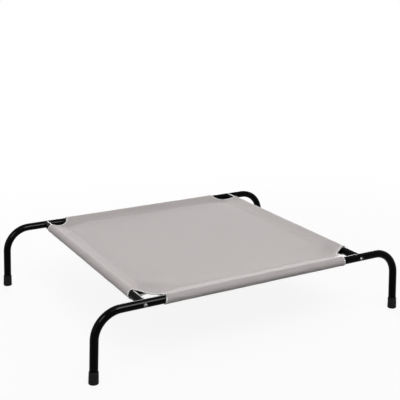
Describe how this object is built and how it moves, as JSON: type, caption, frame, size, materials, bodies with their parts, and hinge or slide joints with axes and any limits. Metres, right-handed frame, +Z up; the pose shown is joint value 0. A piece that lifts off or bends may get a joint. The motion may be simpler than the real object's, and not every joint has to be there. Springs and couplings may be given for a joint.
{
  "type": "raised pet bed",
  "caption": "Raised cot-style dog bed: a sewn fabric sling stretched on a bolted frame of bent black steel tube, standing on rubber foot caps.",
  "frame": {"origin": "on the floor, under the middle of the bed", "axes": "+X to the right along the rails, +Y from front to rear, +Z up"},
  "size_m": [0.968, 0.7532, 0.1923],
  "materials": {
    "frame_tube": "gloss black powder coat",
    "foot_cap": "matt black moulded rubber",
    "bolt": "zinc plated",
    "washer": "zinc plated",
    "threaded_plug": "plain turned steel",
    "cover": "pale grey plain weave, matt"
  },
  "bodies": {
    "root": {"front_left_rail_leg": "frame_tube", "front_right_rail_leg": "frame_tube", "rear_left_rail_leg": "frame_tube", "rear_right_rail_leg": "frame_tube", "left_cross_tube": "frame_tube", "right_cross_tube": "frame_tube", "front_left_foot_cap": "foot_cap", "front_right_foot_cap": "foot_cap", "rear_left_foot_cap": "foot_cap", "rear_right_foot_cap": "foot_cap", "front_left_bolt": "bolt", "front_right_bolt": "bolt", "rear_left_bolt": "bolt", "rear_right_bolt": "bolt", "front_left_washer": "washer", "front_right_washer": "washer", "rear_left_washer": "washer", "rear_right_washer": "washer", "front_left_threaded_plug": "threaded_plug", "front_right_threaded_plug": "threaded_plug", "rear_left_threaded_plug": "threaded_plug", "rear_right_threaded_plug": "threaded_plug", "sling_cover": "cover"}
  },
  "joints": []
}
